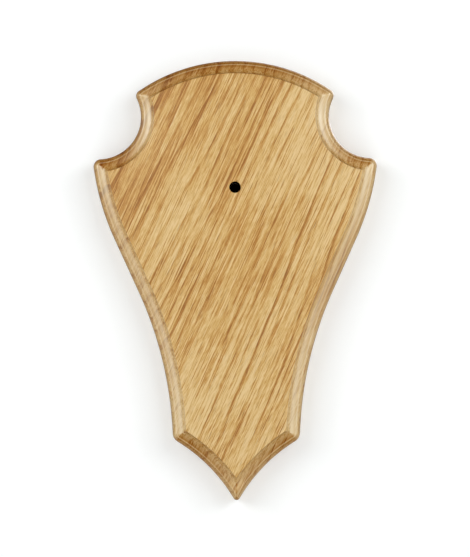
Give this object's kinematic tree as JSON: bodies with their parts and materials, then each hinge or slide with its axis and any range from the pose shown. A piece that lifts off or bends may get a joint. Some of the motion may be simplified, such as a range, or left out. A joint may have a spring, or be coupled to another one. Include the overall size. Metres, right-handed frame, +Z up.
{
  "type": "antler mounting plaque",
  "caption": "Shield-shaped oak board with a routed bead-and-cove edge, a screw hole for a small skull plate and a keyhole slot in the flat back to hang it.",
  "frame": {"origin": "middle of the flat back, on the board's axis at half its height", "axes": "+Z up along the board's axis, +Y out of the flat back towards the wall, the moulded front faces -Y, +X to the right as seen from the front"},
  "size_m": [0.1292, 0.016, 0.2],
  "materials": {
    "oak": "clear satin finish on straight-grained oak"
  },
  "bodies": {
    "root": {"plaque": "oak"}
  },
  "joints": []
}
